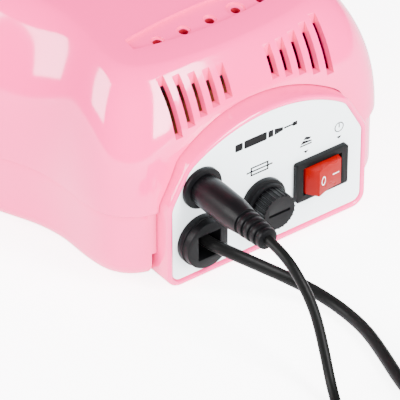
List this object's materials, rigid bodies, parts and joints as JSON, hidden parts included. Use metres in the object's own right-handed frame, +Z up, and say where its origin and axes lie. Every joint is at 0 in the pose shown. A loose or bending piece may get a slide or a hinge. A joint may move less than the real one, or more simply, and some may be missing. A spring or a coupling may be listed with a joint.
{
  "type": "electric nail drill control unit",
  "caption": "Pink desktop control unit of an electric nail drill with rear switch, fuse holder, mains lead, and a foot pedal on a plugged-in lead.",
  "frame": {"origin": "on the standing surface, under the middle of the control unit (cords and pedal left out)", "axes": "+Z up, +Y towards the rear panel, -Y towards the sloping control panel, X across"},
  "size_m": [0.1551, 0.383, 0.083],
  "materials": {
    "pink_shell": "glossy moulded ABS, pale pink",
    "silver_plate": "satin silver-white label sheet",
    "black_plastic": "semi-matte black moulded plastic",
    "frame_plastic": "dark grey switch frame",
    "red_rocker": "glossy red rocker",
    "black_cable": "black flexible cable sheath",
    "rubber": "black rubber",
    "nickel": "nickel-plated brass",
    "steel": "zinc-plated steel",
    "copper_winding": "enamelled copper winding",
    "core_iron": "varnished iron laminations",
    "board_green": "green circuit board",
    "component_black": "moulded component cases",
    "heatsink_metal": "extruded aluminium",
    "fuse_glass": "clear glass fuse",
    "lamp_lens": "translucent red lens"
  },
  "bodies": {
    "root": {"upper_casing": "pink_shell", "lower_casing": "pink_shell", "rear_bezel": "pink_shell", "bit_cup_strip": "pink_shell", "rear_label_plate": "silver_plate", "control_plate": "silver_plate", "rubber_feet": "rubber", "pedal_pads": "rubber", "casing_screws": "steel", "pedal_pin": "steel", "pedal_spring": "steel", "transformer_bracket": "steel", "selector_frame": "frame_plastic", "power_frame": "frame_plastic", "direction_frame": "frame_plastic", "selector_contacts": "nickel", "power_contacts": "nickel", "direction_contacts": "nickel", "foot_plug_pin": "nickel", "mains_plug_pins": "nickel", "foot_jack_nut": "nickel", "fuse_holder": "black_plastic", "fuse_holder_nut": "black_plastic", "glass_fuse": "fuse_glass", "foot_jack": "black_plastic", "foot_plug": "black_plastic", "mains_bushing": "black_plastic", "bushing_clip": "black_plastic", "handpiece_socket": "black_plastic", "mains_plug": "black_plastic", "pedal_gland": "black_plastic", "pedal_base": "black_plastic", "pedal_microswitch": "component_black", "potentiometer": "steel", "indicator_lamp": "lamp_lens", "transformer_core": "core_iron", "transformer_winding": "copper_winding", "control_board": "board_green", "board_posts": "pink_shell", "capacitors": "component_black", "board_chips": "component_black", "heat_sink": "heatsink_metal", "foot_cord": "black_cable", "foot_coil": "black_cable", "foot_cord_tail": "black_cable", "mains_cord": "black_cable", "mains_coil": "black_cable", "mains_cord_tail": "black_cable"},
    "selector_rocker": {"selector_rocker": "red_rocker"},
    "power_rocker": {"power_rocker": "red_rocker"},
    "direction_rocker": {"direction_rocker": "red_rocker"},
    "speed_knob": {"speed_knob": "black_plastic", "potentiometer_shaft": "nickel"},
    "fuse_cap": {"fuse_cap": "black_plastic"},
    "pedal_treadle": {"pedal_treadle": "black_plastic"}
  },
  "joints": [
    {"name": "selector_tip", "type": "hinge", "parent": "root", "child": "selector_rocker", "pos_m": [-0.0208, 0.0715, 0.0222], "axis": [0, 0, 1], "range_deg": [-22, 0]},
    {"name": "power_tip", "type": "hinge", "parent": "root", "child": "power_rocker", "pos_m": [-0.031, -0.05479, 0.053], "axis": [0, 0.5736, 0.8192], "range_deg": [-22, 0]},
    {"name": "direction_tip", "type": "hinge", "parent": "root", "child": "direction_rocker", "pos_m": [0.031, -0.05479, 0.053], "axis": [0, 0.5736, 0.8192], "range_deg": [-22, 0]},
    {"name": "speed_turn", "type": "hinge", "parent": "root", "child": "speed_knob", "pos_m": [0, -0.05479, 0.053], "axis": [0, -0.8192, 0.5736], "range_deg": [-150, 150]},
    {"name": "fuse_cap_turn", "type": "hinge", "parent": "root", "child": "fuse_cap", "pos_m": [0.0025, 0.0715, 0.0213], "axis": [0, 1, 0], "range_deg": [0, 60]},
    {"name": "treadle_press", "type": "hinge", "parent": "root", "child": "pedal_treadle", "pos_m": [0.027, 0.293, 0.0095], "axis": [1, 0, 0], "range_deg": [0, 4], "stiffness_Nm_per_rad": 1, "springref_deg": -5.73, "deforming": ["pedal_spring"]}
  ]
}
